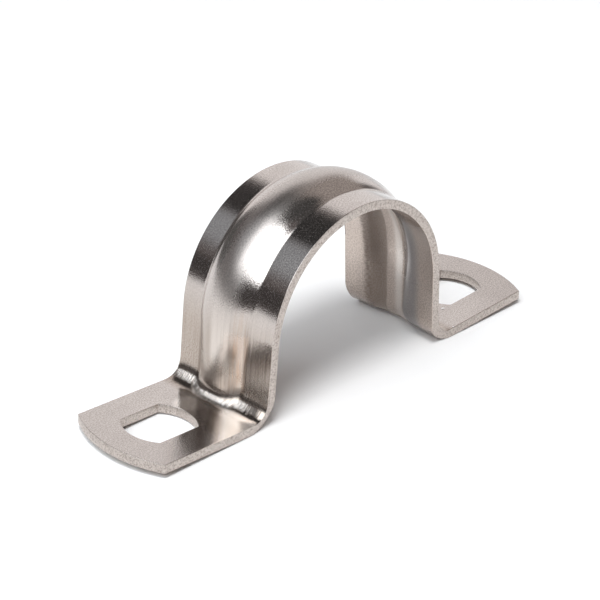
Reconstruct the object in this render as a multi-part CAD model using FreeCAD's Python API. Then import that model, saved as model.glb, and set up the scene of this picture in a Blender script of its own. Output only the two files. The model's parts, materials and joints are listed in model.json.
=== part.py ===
"""Two-hole conduit strap: one strip of stainless sheet, pressed and bent over a round conduit.

The strap stands as on a wall laid flat: X runs from one screw foot to the other, Y is the
conduit's axis and +Z points away from the wall. The origin lies midway between the feet, at
the height of the two heels that the strap rests on. Angles are in degrees, lengths in mm.
"""
import FreeCAD, Part
import math
import os

from FreeCAD import Vector

# Strip that the strap is made from
strap_width = 19.05
sheet_t = 1.5

# Arch over the conduit, measured on the side that touches it
seat_r = 16.9
seat_centre_z = 12.05
leg_splay = 3.7

# Heel bends between legs and feet, measured on their outer, visible corner
heel_r = 3.3
toe_lift = 2.8

# Feet: flat length beside the rounded end, and the radius of that end
foot_length = 16.85
foot_end_r = 19.4

# Screw holes with straight sides and rounded ends
hole_from_heel = 9.45
hole_width = 8.7
hole_length = 10.8
hole_end_r = 6.6

# Stiffening rib, pressed outwards a little off the strip's middle, slimmer at the heels
rib_middle_y = 0.45
rib_width = 10.3
rib_height = 1.55
rib_heel_width = 8.8
rib_heel_height = 1.5

# Sections that the rib is lofted through as it dies out round each heel
heel_sections = 7

# Extra width of the folded strip before its edges are sheared straight
shear_allowance = 1.0

splay = math.radians(leg_splay)
lift = math.radians(toe_lift)


class Spot:
    """Place on the strip's path: a point on the outer face, and the way out of that face."""

    def __init__(self, x, z, angle):
        self.x = x
        self.z = z
        self.out_x = math.cos(angle)
        self.out_z = math.sin(angle)

    def at(self, y, height):
        """Point beside the spot: y across the strip, height above its outer face."""
        return Vector(self.x + self.out_x * height, y, self.z + self.out_z * height)


def arch_spot():
    """Lower end of the arch on the right, where the leg begins."""
    r = seat_r + sheet_t
    return Spot(r * math.cos(splay), seat_centre_z + r * math.sin(splay), splay)


def heel_centre():
    """Centre of the right heel bend, placed so that the leg runs straight into it."""
    reach = seat_r + sheet_t + heel_r
    z = sheet_t + heel_r
    drop = seat_centre_z + reach * math.sin(splay) - z
    return reach * math.cos(splay) + drop * math.tan(splay), z


def heel_spot(share):
    """Spot on the right heel bend: share 0 at the leg's foot, 1 where the flat foot begins."""
    x, z = heel_centre()
    angle = splay + share * (math.pi / 2 + lift - splay)
    return Spot(x - heel_r * math.cos(angle), z - heel_r * math.sin(angle), angle)


def foot_point(u, y, height):
    """Point on the right foot: u outwards from the heel, height above the foot's top face."""
    start = heel_spot(1).at(y, height)
    return start + Vector(math.cos(lift), 0, math.sin(lift)) * u


def line(a, b):
    return Part.LineSegment(a, b).toShape()


def arc(a, b, c):
    return Part.Arc(a, b, c).toShape()


def strip_section(spot, width, height):
    """Closed section across the strip: two flat margins and the rib's round crest between.

    The crest's two faces are arcs about one centre, so the sheet keeps its thickness there.
    """
    edge = strap_width / 2 + shear_allowance
    outer = width / 2
    inner = math.sqrt(outer ** 2 - 2 * sheet_t * height)

    def half(side, reach, depth):
        return spot.at(side * edge, depth), spot.at(rib_middle_y + side * reach, depth)

    def face(reach, depth):
        left, left_foot = half(-1, reach, depth)
        right, right_foot = half(1, reach, depth)
        crest = spot.at(rib_middle_y, depth + height)
        middle = arc(left_foot, crest, right_foot) if height > 0 else line(left_foot, right_foot)
        return left, right, [line(left, left_foot), middle, line(right_foot, right)]

    left, right, top = face(outer, 0)
    left_under, right_under, under = face(inner, -sheet_t)
    return Part.Wire(top + [line(right, right_under)] + under[::-1] + [line(left_under, left)])


def arch():
    """Ribbed section turned about the conduit's axis, from one leg to the other."""
    face = Part.Face(strip_section(arch_spot(), rib_width, rib_height))
    return face.revolve(Vector(0, 0, seat_centre_z), Vector(0, -1, 0), 180 - 2 * leg_splay)


def leg():
    """Straight right leg, whose rib grows slimmer on its way down."""
    top = strip_section(arch_spot(), rib_width, rib_height)
    foot = strip_section(heel_spot(0), rib_heel_width, rib_heel_height)
    return Part.makeLoft([top, foot], True, True)


def heel():
    """Right heel bend, in which the rib dies out before the flat foot begins."""
    wires = []
    for i in range(heel_sections):
        share = i / (heel_sections - 1)
        height = rib_heel_height * (1 + math.cos(math.pi * share)) / 2
        if i == heel_sections - 1:
            height = 0
        wires.append(strip_section(heel_spot(share), rib_heel_width, height))
    return Part.makeLoft(wires, True, False)


def foot():
    """Flat right foot with its rounded end and its screw hole."""
    edge = strap_width / 2
    bulge = foot_end_r - math.sqrt(foot_end_r ** 2 - edge ** 2)
    corner_a = foot_point(foot_length, -edge, 0)
    corner_b = foot_point(foot_length, edge, 0)
    tip = foot_point(foot_length + bulge, 0, 0)
    start_a = foot_point(0, -edge, 0)
    start_b = foot_point(0, edge, 0)
    outline = Part.Wire([line(start_a, corner_a), arc(corner_a, tip, corner_b),
                         line(corner_b, start_b), line(start_b, start_a)])
    through = foot_point(0, 0, -sheet_t) - foot_point(0, 0, 0)

    half_w = hole_width / 2
    half_l = hole_length / 2
    straight = half_l - (hole_end_r - math.sqrt(hole_end_r ** 2 - half_w ** 2))

    def hole_point(u, y):
        return foot_point(hole_from_heel + u, y, 0)

    hole = Part.Wire([
        line(hole_point(-straight, -half_w), hole_point(straight, -half_w)),
        arc(hole_point(straight, -half_w), hole_point(half_l, 0), hole_point(straight, half_w)),
        line(hole_point(straight, half_w), hole_point(-straight, half_w)),
        arc(hole_point(-straight, half_w), hole_point(-half_l, 0), hole_point(-straight, -half_w)),
    ])
    blank = Part.Face(outline).extrude(through)
    return blank.cut(Part.Face(hole).extrude(through))


def conduit_strap():
    """Arch, legs, heels and feet as one piece, with both long edges sheared straight."""
    right = [leg(), heel(), foot()]
    left = [piece.mirror(Vector(0, 0, 0), Vector(1, 0, 0)) for piece in right]
    folded = arch().multiFuse(right + left)
    room = 4 * (seat_r + foot_length)
    slab = Part.makeBox(room, strap_width, room, Vector(-room / 2, -strap_width / 2, -room / 2))
    return folded.common(slab).removeSplitter()


os.makedirs("parts", exist_ok=True)
strap = conduit_strap()
if len(strap.Solids) == 1:
    strap = strap.Solids[0]
strap.exportStep("parts/strap.step")
print("valid", strap.isValid(), "solids", len(strap.Solids), "faces", len(strap.Faces))
print("volume", round(strap.Volume, 2))
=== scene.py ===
import json
import math

import bpy
from mathutils import Matrix, Vector


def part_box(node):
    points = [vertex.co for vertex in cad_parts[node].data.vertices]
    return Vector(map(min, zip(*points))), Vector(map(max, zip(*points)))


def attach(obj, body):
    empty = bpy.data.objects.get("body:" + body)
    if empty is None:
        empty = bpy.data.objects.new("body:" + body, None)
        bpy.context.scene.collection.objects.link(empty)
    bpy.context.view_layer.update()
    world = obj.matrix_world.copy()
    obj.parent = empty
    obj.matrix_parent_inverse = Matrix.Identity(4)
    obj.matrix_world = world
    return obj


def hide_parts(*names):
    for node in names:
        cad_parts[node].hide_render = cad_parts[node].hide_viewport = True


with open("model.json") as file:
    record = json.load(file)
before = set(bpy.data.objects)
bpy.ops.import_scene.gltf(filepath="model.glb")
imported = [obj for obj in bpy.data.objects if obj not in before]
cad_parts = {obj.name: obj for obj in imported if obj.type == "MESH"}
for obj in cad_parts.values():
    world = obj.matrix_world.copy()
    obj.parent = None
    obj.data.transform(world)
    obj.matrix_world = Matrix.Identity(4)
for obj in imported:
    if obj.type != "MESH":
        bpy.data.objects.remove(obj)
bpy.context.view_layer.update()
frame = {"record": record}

# Pressed strip. One strip of stainless sheet makes the whole strap: arch, legs, heels and feet.
# A die presses the rib, folds the heels and flattens the feet in one blow, and the long edges,
# the rounded ends and the screw holes are sheared, so every edge shows the sheet's thickness.
mounts = {mount["name"]: mount for mount in frame["record"]["mounts"]}
seat = mounts["conduit_seat"]
strip_low, strip_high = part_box("strap")

sheet_t = 0.0015
seat_r = seat["dims"]["r_mm"] / 1000
seat_z = seat["pos_m"][2]
leg_splay = math.radians(3.7)
heel_r = 0.0033
toe_lift = math.radians(2.8)
foot_length = 0.01685
foot_end_r = 0.0194
hole_from_heel = 0.00945
hole_width = 0.0087
hole_length = 0.0108
hole_end_r = 0.0066
rib_middle = 0.00045
rib_width = 0.0103
rib_height = strip_high.z - seat_z - seat_r - sheet_t
rib_heel_width = 0.0088
rib_heel_height = 0.0015

# Softness of the creases beside the rib, the rolled and the crisp corners of the edges, and how
# the heel bends curl the strip down beside its edges
arch_crease = 0.00012
heel_crease = 0.0005
edge_roll = 0.0003
edge_break = 0.0001
curl_width = 0.0014
corner_curl = 0.0002
corner_turn = math.radians(40)

# Cells of the blank along each stretch of half the strap, and across its rib and margins
arch_cells = 100
leg_cells = 24
heel_cells = 30
heel_to_hole_cells = 22
hole_cells = 44
hole_to_end_cells = 24
rib_cells = 24
margin_cells = 12
row_gather = 0.65


class Wire:
    """One output of a node. Arithmetic written with it adds Math nodes to its tree."""

    def __init__(self, tree, socket=None):
        self.tree = tree
        self.socket = socket

    def node(self, kind, settings=None, inputs=None, out=0):
        """Adds a node: first its settings, then the values or wires of its input sockets."""
        made = self.tree.nodes.new(kind)
        for name, value in (settings or {}).items():
            setattr(made, name, value)
        for name, value in (inputs or {}).items():
            for part in value if isinstance(value, list) else [value]:
                if isinstance(part, Wire):
                    self.tree.links.new(part.socket, made.inputs[name])
                else:
                    made.inputs[name].default_value = part
        return Wire(self.tree, made.outputs[out] if len(made.outputs) else None)

    def also(self, out):
        """Another output of the same node."""
        return Wire(self.tree, self.socket.node.outputs[out])

    def math(self, operation, *terms):
        return self.node("ShaderNodeMath", {"operation": operation}, dict(enumerate(terms)))

    def __add__(self, other):
        return self.math("ADD", self, other)

    def __radd__(self, other):
        return self.math("ADD", other, self)

    def __sub__(self, other):
        return self.math("SUBTRACT", self, other)

    def __rsub__(self, other):
        return self.math("SUBTRACT", other, self)

    def __mul__(self, other):
        return self.math("MULTIPLY", self, other)

    def __rmul__(self, other):
        return self.math("MULTIPLY", other, self)

    def __truediv__(self, other):
        return self.math("DIVIDE", self, other)

    def __abs__(self):
        return self.math("ABSOLUTE", self)

    def __pow__(self, power):
        return self.math("POWER", self, power)

    def above(self, limit):
        return self.math("GREATER_THAN", self, limit)

    def below(self, limit):
        return self.math("LESS_THAN", self, limit)

    def sqrt(self):
        return self.math("SQRT", self.math("MAXIMUM", self, 0.0))

    def sin(self):
        return self.math("SINE", self)

    def cos(self):
        return self.math("COSINE", self)

    def clamp(self, low=0.0, high=1.0):
        return self.node("ShaderNodeClamp", {}, {"Value": self, "Min": low, "Max": high})

    def fade(self, nothing, full):
        """0 at the value nothing and 1 at full, with a soft turn at both."""
        return self.node("ShaderNodeMapRange", {"interpolation_type": "SMOOTHSTEP"}, {
            "Value": self, "From Min": nothing, "From Max": full})

    def within(self, start, full, hold, end):
        """0 up to start, 1 from full to hold and 0 again past end, with soft turns."""
        return self.fade(start, full) * self.fade(end, hold)

    def dot(self, axis):
        """How far a vector reaches along a fixed axis."""
        return self.node("ShaderNodeVectorMath", {"operation": "DOT_PRODUCT"}, {0: self, 1: axis}, "Value")

    def mix_colour(self, other, share):
        """This colour where share is 0, the other where it is 1."""
        return self.node("ShaderNodeMix", {"data_type": "RGBA"}, {0: share, 6: self, 7: other}, 2)

    def split(self):
        """The three numbers of a vector."""
        x = self.node("ShaderNodeSeparateXYZ", {}, {0: self})
        return x, x.also(1), x.also(2)

    def vector(self, x, y, z):
        return self.node("ShaderNodeCombineXYZ", {}, {0: x, 1: y, 2: z})


def mix(a, b, share):
    """a where share is 0, b where it is 1."""
    return a + (b - a) * share


def arc_over(radius, y):
    """How far a round end of that radius has fallen back at distance y from its middle."""
    return radius - (radius * radius - y * y).sqrt()


sizes = {
    "Width": strip_high.y - strip_low.y, "Thickness": sheet_t,
    "Seat radius": seat_r, "Seat height": seat_z, "Leg splay": leg_splay,
    "Heel radius": heel_r, "Toe lift": toe_lift,
    "Foot length": foot_length, "Foot end radius": foot_end_r,
    "Hole from heel": hole_from_heel, "Hole width": hole_width,
    "Hole length": hole_length, "Hole end radius": hole_end_r,
    "Rib middle": rib_middle, "Rib width": rib_width, "Rib height": rib_height,
    "Rib heel width": rib_heel_width, "Rib heel height": rib_heel_height,
    "Arch crease": arch_crease, "Heel crease": heel_crease,
    "Edge roll": edge_roll, "Edge break": edge_break,
    "Curl width": curl_width, "Corner curl": corner_curl,
}


def strip_tree(face_metal, edge_metal):
    """Nodes that press a flat blank of cells into the strap and give it its thickness."""
    tree = bpy.data.node_groups.new("pressed strip", "GeometryNodeTree")
    for name, value in sizes.items():
        socket = tree.interface.new_socket(name=name, in_out="INPUT", socket_type="NodeSocketFloat")
        socket.default_value = value
    tree.interface.new_socket(name="Strap", in_out="OUTPUT", socket_type="NodeSocketGeometry")
    given = tree.nodes.new("NodeGroupInput")
    size = {name: Wire(tree, given.outputs[name]) for name in sizes}
    w = Wire(tree)

    cells = [arch_cells, leg_cells, heel_cells, heel_to_hole_cells, hole_cells, hole_to_end_cells]
    columns = 2 * sum(cells)
    rows = rib_cells + 2 * margin_cells
    blank = w.node("GeometryNodeMeshGrid", {}, {
        "Size X": float(columns), "Size Y": float(rows),
        "Vertices X": columns + 1, "Vertices Y": rows + 1})
    column, row, _ = w.node("GeometryNodeInputPosition").split()
    side = w.math("SIGN", column)
    along = abs(column)

    def stretch(index):
        """0 before a stretch of the strip, 1 after it."""
        start = sum(cells[:index])
        return ((along - float(start)) / float(cells[index])).clamp()

    arch, leg, heel, to_hole, hole, to_end = [stretch(i) for i in range(len(cells))]

    # Across the strip, the rows lie closest beside the rib's two creases
    half_rib = rib_cells / 2
    inner = (row / half_rib).clamp(-1.0, 1.0)
    inner = mix(inner, (inner * (math.pi / 2)).sin(), row_gather)
    outer = ((abs(row) - half_rib) / float(margin_cells)).clamp()
    outer = outer - (outer * (2 * math.pi)).sin() * (row_gather / (2 * math.pi))
    rib_half = mix(mix(size["Rib width"], size["Rib heel width"], leg), size["Hole width"], to_hole) / 2.0
    middle = size["Rib middle"] * (1.0 - to_hole)
    edge = size["Width"] / 2.0
    hand = w.math("SIGN", row)
    y = middle + inner * rib_half + hand * outer * (edge - rib_half - hand * middle)

    # Rib: a round crest that meets the flat margins in a crease on each side
    low = size["Rib heel height"] * ((heel * math.pi).cos() + 1.0) / 2.0
    height = mix(size["Rib height"], low, leg)
    height = w.math("MAXIMUM", height, 1e-6)
    rib_edge = mix(size["Rib width"], size["Rib heel width"], leg) / 2.0
    from_middle = y - size["Rib middle"]
    crest_r = (rib_edge * rib_edge + height * height) / (2.0 * height)
    under = (crest_r * crest_r - from_middle * from_middle).sqrt() + crest_r - height
    crest = (rib_edge * rib_edge - from_middle * from_middle) / under
    crease = mix(size["Arch crease"], size["Heel crease"], leg)
    crease = crease * (height / size["Rib heel height"]).clamp()
    raised = w.math("SMOOTH_MAX", crest, 0.0, crease)

    # Each heel's corners curl down a little where the sheet is drawn thin beside its sheared edges
    curl = heel * (1.0 - heel) * 4.0 * ((abs(y) - (edge - size["Curl width"])) / size["Curl width"]).clamp()
    raised = raised - curl * curl * size["Corner curl"]

    # Foot: distances from the heel to the hole's two ends and to the rounded end of the strip
    hole_y = w.math("MINIMUM", abs(y), size["Hole width"] / 2.0)
    hole_half = size["Hole length"] / 2.0 - arc_over(size["Hole end radius"], hole_y)
    end_fall = arc_over(size["Foot end radius"], edge) - arc_over(size["Foot end radius"], y)
    near_hole = size["Hole from heel"] - hole_half
    run = near_hole * to_hole + hole_half * 2.0 * hole
    run = run + (size["Foot length"] + end_fall - near_hole - hole_half * 2.0) * to_end

    # Path of the outer face, from the crown down one side and out along the foot
    splay = size["Leg splay"]
    lift = size["Toe lift"]
    bend_r = size["Heel radius"]
    outer_r = size["Seat radius"] + size["Thickness"]
    reach = outer_r + bend_r
    drop = size["Seat height"] + reach * splay.sin() - size["Thickness"] - bend_r
    arch_turn = (math.pi / 2 - splay) * arch
    leg_run = drop / splay.cos() * leg
    heel_turn = (math.pi / 2 + lift - splay) * heel
    x = outer_r * arch_turn.sin() + leg_run * splay.sin() + run * lift.cos()
    x = x + bend_r * (splay.cos() - (splay + heel_turn).cos())
    z = size["Seat height"] + outer_r * arch_turn.cos() - leg_run * splay.cos() + run * lift.sin()
    z = z + bend_r * (splay.sin() - (splay + heel_turn).sin())
    facing = heel_turn - arch_turn + math.pi / 2
    travelled = outer_r * arch_turn + leg_run + bend_r * heel_turn + run

    before_hole = float(sum(cells[:4]))
    after_hole = float(sum(cells[:5]))
    in_hole = along.above(before_hole) * along.below(after_hole) * abs(row).below(half_rib)
    face = w.node("GeometryNodeDeleteGeometry", {"domain": "FACE"}, {
        "Geometry": blank, "Selection": in_hole})
    face = w.node("GeometryNodeStoreNamedAttribute", {"data_type": "FLOAT2", "domain": "CORNER"}, {
        "Geometry": face, "Name": "strip", "Value": w.vector(side * travelled, y, 0.0)})
    face = w.node("GeometryNodeSetPosition", {}, {
        "Geometry": face,
        "Position": w.vector(side * (x + raised * facing.cos()), y, z + raised * facing.sin())})
    turned = w.node("GeometryNodeFlipFaces", {}, {"Mesh": face})
    thick = w.node("GeometryNodeExtrudeMesh", {"mode": "FACES"}, {
        "Mesh": turned, "Offset Scale": size["Thickness"], "Individual": False})
    under, sheared = thick.also(1), thick.also(2)

    # Attribute "under": 1 on the inner face, a half on the sheared edges and 0 on the outer face
    thick = w.node("GeometryNodeStoreNamedAttribute", {"data_type": "FLOAT", "domain": "FACE"}, {
        "Geometry": thick, "Name": "under", "Value": under * 1.0 + sheared * 0.5})
    whole = w.node("GeometryNodeJoinGeometry", {}, {"Geometry": [thick, face]})
    whole = w.node("GeometryNodeMergeByDistance", {}, {"Geometry": whole, "Distance": 1e-7})

    # The shear rolls the inner corners of the sheet and leaves the outer ones crisp. On an edge
    # the attribute is the mean of its two faces, and corners within the sheared wall turn sharply.
    between = w.node("GeometryNodeInputNamedAttribute", {"data_type": "FLOAT"}, {"Name": "under"})
    turn = w.node("GeometryNodeInputMeshEdgeAngle")
    rolled, outer_corner, wall = [abs(between - mean).below(0.1) for mean in (0.75, 0.25, 0.5)]
    crisp = outer_corner + wall * turn.above(corner_turn)
    whole = w.node("GeometryNodeStoreNamedAttribute", {"data_type": "FLOAT", "domain": "EDGE"}, {
        "Geometry": whole, "Name": "bevel_weight_edge",
        "Value": rolled + crisp * size["Edge break"] / size["Edge roll"]})
    whole = w.node("GeometryNodeSetShadeSmooth", {}, {"Geometry": whole, "Shade Smooth": True})
    whole = w.node("GeometryNodeRealizeInstances", {}, {"Geometry": whole})
    whole = w.node("GeometryNodeSetMaterial", {}, {"Geometry": whole, "Material": face_metal})
    whole = w.node("GeometryNodeSetMaterial", {}, {
        "Geometry": whole, "Selection": sheared, "Material": edge_metal})
    w.node("NodeGroupOutput", {}, {0: whole})
    return tree


def metal(name):
    """A bare stainless surface: its shader, and a wire to start its nodes from."""
    material = bpy.data.materials.new(name)
    material.use_nodes = True
    shader = material.node_tree.nodes["Principled BSDF"]
    shader.inputs["Metallic"].default_value = 1.0
    return material, shader, Wire(material.node_tree)


def noise(place, detail, roughness):
    """Soft noise between about 0.25 and 0.75, with features one unit of the place apart."""
    return place.node("ShaderNodeTexNoise", {}, {
        "Vector": place, "Scale": 1.0, "Detail": detail, "Roughness": roughness})


def tone(dark, light, share):
    """Colour between a dark and a light one."""
    first = share.node("ShaderNodeRGB")
    first.socket.default_value = dark
    return first.mix_colour(light, share)


def lead(wire, shader, name):
    """Joins a wire to the shader's input of that name."""
    wire.tree.links.new(wire.socket, shader.inputs[name])


def relief(height, shader):
    """Gives a surface its fine relief, from heights in mm."""
    bump = height.node("ShaderNodeBump", {}, {"Height": height, "Distance": 0.001, "Strength": 1.0})
    lead(bump, shader, "Normal")


# Pressed faces. Rolled sheet has a fine satin grain. The die draws long streaks down the legs
# and scores the heels as it folds them. The inner faces, which only the punch touched, are
# warmer. The colour also holds painted light: painted highlights on the heel scores, the lower
# rib crest and tiny domes, painted shade along the rib creases of the legs, painted reflections,
# light and dark, on the near foot beside the heel, and three long bands of painted reflection,
# dark and light, inside the arch.
mill_light = (0.66, 0.605, 0.572, 1)
mill_dark = (0.475, 0.43, 0.404, 1)
drawn_light = (0.50, 0.435, 0.385, 1)
drawn_dark = (0.34, 0.28, 0.24, 1)
under_light = (0.66, 0.575, 0.52, 1)
under_dark = (0.42, 0.352, 0.31, 1)
warm_tone = (0.60, 0.46, 0.36, 1)
# Tones of painted shade, painted highlights and painted reflections
painted_shade_tone = (0.20, 0.155, 0.125, 1)
painted_highlight_tone = (0.92, 0.86, 0.81, 1)
painted_reflection_tone = (0.97, 0.96, 0.95, 1)
sheet_roughness = 0.12
pit_share = 0.08
grain_mm = 0.24
grain_height_mm = 0.01
patch_length_mm = 6.0
patch_width_mm = 3.0
streak_length_mm = 9.0
streak_width_mm = 0.34
streak_height_mm = 0.004
drawn_height_mm = 0.016
score_length_mm = 2.4
score_width_mm = 0.16
score_height_mm = 0.1
specks_mm = [(45.35, -4.3, 0.34), (42.1, -9.35, 0.2)]
speck_height_mm = 0.075

# Places of the marks in mm, along the strip from its crown or across it from its middle. Two
# numbers give where a mark is absent and where it is full, and four give where it starts, is
# full, stays full and ends.
near_side_across = (3.6, -2.0)
crest_across = (4.2, 1.6)
crest_end = (40.0, 36.0)
# Painted highlight on the rib crest of the lower legs
crest_highlight_across = (2.4, 1.2)
crest_highlight_end = (35.0, 32.0)
drawn_start = (22.0, 31.0)
low_leg = (29.0, 34.0, 37.2, 38.6)
toe_across = (4.6, 3.2)
toe_along = (34.5, 37.0, 39.0, 39.8)
# Painted shade along the creases beside the rib of the legs
crease_place = 4.8
crease_width = (0.5, 0.1)
crease_along = (24.0, 33.0, 38.6, 39.6)
warm_across = (-4.8, -4.0, -2.8, -1.8)
warm_end = (38.5, 36.0)
score_heel = 39.1
score_toe = 40.4
score_toe_across = (5.0, 2.6)
score_width = (1.0, 0.5)
score_ragged = 6.0
score_end_across = (-6.4, -5.2)
foot_start = (40.5, 42.5)
foot_end = (50.0, 55.0)

# The near foot carries a patch of painted reflection and a band of painted dark reflection, both
# beside slanting lines across the strip, and an oval of painted reflection, whose edge is given in
# squares of its reach. Along the strip, that foot lies on the negative side.
reflection_patch_slope = 1.04
reflection_patch_across = 40.3
reflection_patch_edge = (0.6, -1.4)
reflection_patch_start = (-39.8, -41.0)
dark_band_slope = 0.84
dark_band_across = 33.2
dark_band_width = (1.5, 0.4)
dark_band_along = (-50.0, -46.0, -42.0, -40.6)
reflection_oval_middle = (-43.6, 1.6)
reflection_oval_reach = (2.6, 2.4)
reflection_oval_edge = (1.3, 0.2)

# Painted reflections inside the arch, as bands: each one's tone, its place across the strip in mm and its
# strength
reflection_band_ragged = (0.8, 0.3)
reflection_band_end = (41.0, 38.0)
painted_reflection_bands = [
    ((0.25, 0.20, 0.17, 1), (1.6, 2.0, 4.6, 5.8), 0.65),
    ((0.78, 0.74, 0.70, 1), (-3.4, -2.4, -1.2, 0.2), 0.6),
    ((0.26, 0.262, 0.275, 1), (-7.2, -5.2, -3.8, -3.0), 0.7),
]

face_metal, face_shader, w = metal("pressed stainless")
along, across, _ = w.node("ShaderNodeUVMap", {"uv_map": "strip"}).split()
along = along * 1000.0
across = across * 1000.0


def strip_noise(length, width, layer, detail, roughness=0.5):
    """Noise with features of that length and width in mm. Each layer has a pattern of its own."""
    return noise(along.vector(along / length, across / width, layer), detail, roughness)


def speck(along_at, across_at, radius):
    """A tiny dome of metal left on the sheet, 1 at its top and 0 round it."""
    off = (along - along_at) ** 2.0 + (across - across_at) ** 2.0
    return (1.0 - off / (radius * radius)).clamp()


grain = strip_noise(grain_mm, grain_mm, 0.0, 2.0, 0.6)
streaks = strip_noise(streak_length_mm, streak_width_mm, 0.0, 3.0, 0.6)
patches = strip_noise(patch_length_mm, patch_width_mm, 3.0, 2.0)
scores = strip_noise(score_length_mm, score_width_mm, 5.0, 2.0)
# Tiny domes in the relief. Their colour is made near white as a painted glint.
domes_and_glints = sum(speck(*place) for place in specks_mm)

under = w.node("ShaderNodeAttribute", {"attribute_name": "under"}, out="Fac").fade(0.6, 0.9)
down = abs(along)
from_rib = abs(across - rib_middle * 1000)
near_side = across.fade(*near_side_across)
foot = down.fade(*foot_start)
drawn = down.fade(*drawn_start) * (1.0 - foot)
crest = from_rib.fade(*crest_across) * down.fade(*crest_end)
# Painted highlight: the rib crest of the lower legs is made paler
painted_crest_highlight = abs(across).fade(*crest_highlight_across) * down.fade(*crest_highlight_end) * drawn
toe = from_rib.fade(*toe_across) * down.within(*toe_along)
# Painted shade: a dark line along each crease beside the rib of the legs
painted_crease_shade = abs(from_rib - crease_place).fade(*crease_width) * down.within(*crease_along)
warmed = across.within(*warm_across) * streaks.fade(0.45, 0.62) * drawn * down.fade(*warm_end)

# Heel scores: real marks in the relief, and a painted highlight in the colour
score_middle = mix(score_heel, score_toe, from_rib.fade(*score_toe_across))
score_end = (across + (scores - 0.5) * score_ragged).fade(*score_end_across)
heel_scores_and_highlight = abs(down - score_middle).fade(*score_width) * score_end

# Painted reflection: a near-white patch on the near foot beside the heel
painted_reflection_patch = (across - along * reflection_patch_slope - reflection_patch_across).fade(*reflection_patch_edge) * along.fade(*reflection_patch_start)
# Painted dark reflection: a dark band across the near foot
painted_dark_band = abs(across - along * dark_band_slope - dark_band_across).fade(*dark_band_width) * along.within(*dark_band_along)
# Painted reflection: a pale oval on the near foot beside the heel
from_oval = ((along - reflection_oval_middle[0]) / reflection_oval_reach[0]) ** 2.0
from_oval = from_oval + ((across - reflection_oval_middle[1]) / reflection_oval_reach[1]) ** 2.0
painted_reflection_oval = from_oval.fade(*reflection_oval_edge) * foot

height = (grain - 0.5) * grain_height_mm
height = height + (streaks - 0.5) * streak_height_mm
height = height + (streaks - 0.5) * drawn * (0.2 + near_side * 0.8) * drawn_height_mm
height = height + (scores - 0.5) * heel_scores_and_highlight * score_height_mm + domes_and_glints * speck_height_mm
relief(height, face_shader)

mottle = (grain.fade(0.4, 0.6) * 0.8 + patches.fade(0.3, 0.7) * 0.2).clamp()
line = mix(1.0 - mottle, streaks.fade(0.42, 0.66), 0.25 + near_side * 0.6)
# Painted highlights on the heel scores, the oval on the near foot and the lower rib crest
painted_highlights = heel_scores_and_highlight * scores.fade(0.36, 0.5) * 0.7 + painted_reflection_oval * 0.9 + painted_crest_highlight * 0.4
outer_tone = tone(mill_dark, mill_light, mottle)
outer_tone = outer_tone.mix_colour(tone(drawn_light, drawn_dark, line), drawn)
# Painted shade along the creases and in a dark band on the near foot, painted highlights, and a painted
# reflection patch with painted glints on the domes
for layer, share in (
        (warm_tone, warmed * 0.8), (painted_shade_tone, painted_crease_shade * 0.75), (painted_shade_tone, painted_dark_band * 0.6),
        (painted_highlight_tone, painted_highlights.clamp()), (painted_reflection_tone, (painted_reflection_patch + domes_and_glints.fade(0.0, 0.5)).clamp())):
    outer_tone = outer_tone.mix_colour(layer, share)

under_tone = tone(under_dark, under_light, mottle)
# Painted reflections: bands of dark and light tone along the inner faces, with ragged edges
ragged = across + (patches - 0.5) * reflection_band_ragged[0] + (grain - 0.5) * reflection_band_ragged[1]
for layer, place, strength in painted_reflection_bands:
    under_tone = under_tone.mix_colour(layer, ragged.within(*place) * down.fade(*reflection_band_end) * strength)
lead(outer_tone.mix_colour(under_tone, under), face_shader, "Base Color")

roughness = sheet_roughness
for mask, more in (
        (crest * (1.0 - drawn), 0.18), (down.fade(*foot_end), 0.12), (down.within(*low_leg), 0.15),
        (toe, 0.12), (painted_reflection_patch, 0.13), (under, 0.1), (grain - 0.5, 0.1), (patches - 0.5, 0.06)):
    roughness = roughness + mask * more
lead(roughness.clamp(0.08, 0.6), face_shader, "Roughness")
lead(1.0 - grain.fade(0.5, 0.66) * pit_share, face_shader, "Metallic")

# Sheared edges. The shear leaves a matt, grainy wall round the whole strip and in the holes.
shear_light = (0.60, 0.54, 0.50, 1)
shear_dark = (0.29, 0.24, 0.21, 1)
shear_roughness = 0.4
shear_grain_mm = 0.27
shear_height_mm = 0.022

edge_metal, edge_shader, w = metal("sheared stainless")
x, y, z = [axis * 1000 / shear_grain_mm for axis in w.node("ShaderNodeTexCoord", out="Object").split()]
pits = noise(x.vector(x, y, z), 3.0, 0.65)
relief((pits - 0.5) * shear_height_mm, edge_shader)
lead(tone(shear_dark, shear_light, pits.fade(0.3, 0.6)), edge_shader, "Base Color")
lead((shear_roughness + (pits - 0.5) * 0.4).clamp(0.2, 0.7), edge_shader, "Roughness")

blank_mesh = bpy.data.meshes.new("blank")
blank_piece = bpy.data.objects.new("blank", blank_mesh)
bpy.context.scene.collection.objects.link(blank_piece)
press = blank_piece.modifiers.new("press", "NODES")
press.node_group = strip_tree(face_metal, edge_metal)
for item in press.node_group.interface.items_tree:
    if item.in_out == "INPUT":
        press[item.identifier] = sizes[item.name]
break_edges = blank_piece.modifiers.new("edges", "BEVEL")
break_edges.width = edge_roll
break_edges.segments = 3
break_edges.limit_method = "WEIGHT"
blank_piece.update_tag()
made = blank_piece.evaluated_get(bpy.context.evaluated_depsgraph_get())
strip_mesh = bpy.data.meshes.new_from_object(made)
strip_mesh.name = "pressed_strip"
strip_mesh.materials.pop(index=0)
bpy.data.objects.remove(blank_piece)
strip = bpy.data.objects.new("pressed_strip", strip_mesh)
bpy.context.scene.collection.objects.link(strip)
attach(strip, "root")
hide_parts("strap")

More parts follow.
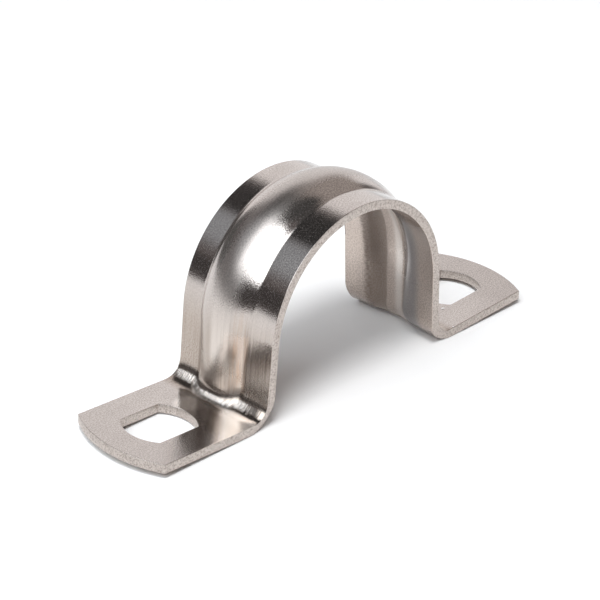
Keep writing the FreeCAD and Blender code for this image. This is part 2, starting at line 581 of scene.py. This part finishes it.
# Floor. White studio paper under the strap; it takes only the shadow.
floor_half = 2.0
floor_mesh = bpy.data.meshes.new("floor")
floor_mesh.from_pydata(
    [(-floor_half, -floor_half, 0), (floor_half, -floor_half, 0),
     (floor_half, floor_half, 0), (-floor_half, floor_half, 0)], [], [(0, 1, 2, 3)])
floor = bpy.data.objects.new("floor", floor_mesh)
bpy.context.scene.collection.objects.link(floor)
paper = bpy.data.materials.new("white paper")
paper.use_nodes = True
paper_shader = paper.node_tree.nodes["Principled BSDF"]
paper_shader.inputs["Base Color"].default_value = (0.95, 0.95, 0.95, 1)
paper_shader.inputs["Roughness"].default_value = 1.0
paper_shader.inputs["Specular IOR Level"].default_value = 0.0
floor_mesh.materials.append(paper)

# Light. A softbox hangs high on the left, pale walls stand behind on the right, and the rest of
# the studio is dim, which gives the metal its dark bands. A lamp overhead, which the metal
# doesn't mirror, throws the shadow under the arch.
room_shade = (0.15, 0.135, 0.135)
panels = [
    # azimuth and elevation of the middle, half width, half height, blur and turn in degrees, colour
    (44, 10, 31, 33, 9, 0, (1.0, 0.98, 0.98)),
    (82, 47, 24, 24, 10, 0, (0.42, 0.38, 0.36)),
    (-8, 9, 17, 9, 9, -10, (0.11, 0.11, 0.11)),
    (-35, 40, 13, 12, 14, -20, (0.36, 0.385, 0.415)),
    (-92, 50, 29, 24.5, 10, -10, (2.85, 3.0, 3.12)),
    (-80, 12, 42, 9, 8, 0, (0.06, 0.055, 0.055)),
    (4, 58, 15, 12, 8, 0, (0.03, 0.03, 0.03)),
    (60, 86, 20, 16, 10, 0, (0.07, 0.07, 0.07)),
]
lamp_azimuth = -122
lamp_elevation = 73
lamp_distance = 0.6
lamp_size = 0.2
lamp_power = 1.95

world = bpy.data.worlds.new("studio")
world.use_nodes = True
studio = Wire(world.node_tree)
toward = studio.node("ShaderNodeTexCoord")


def heading(azimuth, elevation):
    """Direction at a compass azimuth from +Y towards +X, and at a height above the floor."""
    turn, rise = math.radians(azimuth), math.radians(elevation)
    return Vector((math.sin(turn) * math.cos(rise), math.cos(turn) * math.cos(rise), math.sin(rise)))


def panel_mask(azimuth, elevation, half_width, half_height, blur, turn):
    """1 in the directions of a flat panel that faces the strap, 0 outside it."""
    ahead = heading(azimuth, elevation)
    level = heading(azimuth + 90, 0)
    spin = Matrix.Rotation(math.radians(turn), 3, ahead)
    depth = toward.dot(ahead)
    soft = math.tan(math.radians(blur))
    mask = depth.above(0.0)
    for axis, half in ((spin @ level, half_width), (spin @ level.cross(ahead), half_height)):
        off = abs(toward.dot(axis) / depth)
        edge = math.tan(math.radians(half))
        mask = mask * off.fade(edge + soft / 2, edge - soft / 2)
    return mask


colour = studio.node("ShaderNodeRGB")
colour.socket.default_value = (*room_shade, 1)
for azimuth, elevation, half_width, half_height, blur, turn, shade in panels:
    mask = panel_mask(azimuth, elevation, half_width, half_height, blur, turn)
    colour = colour.mix_colour((*shade, 1), mask)
background = world.node_tree.nodes["Background"]
world.node_tree.links.new(colour.socket, background.inputs["Color"])
bpy.context.scene.world = world

lamp_data = bpy.data.lights.new("overhead", "AREA")
lamp_data.shape = "DISK"
lamp_data.size = lamp_size
lamp_data.energy = lamp_power
lamp = bpy.data.objects.new("overhead", lamp_data)
bpy.context.scene.collection.objects.link(lamp)
lamp.location = heading(lamp_azimuth, lamp_elevation) * lamp_distance
lamp.rotation_euler = lamp.location.to_track_quat("Z", "Y").to_euler()
lamp.visible_glossy = False

# Camera. It looks down at the strap from the front left, as the photograph does, a little askew.
camera_azimuth = -133.79
camera_elevation = 27.98
camera_roll = 1.86
camera_distance = 0.3208
camera_target = Vector((-0.00235, 0.00058, 0.01155))
camera_lens = 125.75

back = heading(camera_azimuth, camera_elevation)
right = Matrix.Rotation(math.radians(camera_roll), 3, back) @ heading(camera_azimuth - 90, 0)
axes = Matrix((right, back.cross(right), back)).transposed()
camera = bpy.data.objects.new("camera", bpy.data.cameras.new("camera"))
bpy.context.scene.collection.objects.link(camera)
camera.matrix_world = Matrix.LocRotScale(camera_target + back * camera_distance, axes, None)
camera.data.lens = camera_lens
camera.data.sensor_width = 36
camera.data.clip_start = 0.01
bpy.context.scene.camera = camera
bpy.context.scene.view_settings.view_transform = "Standard"
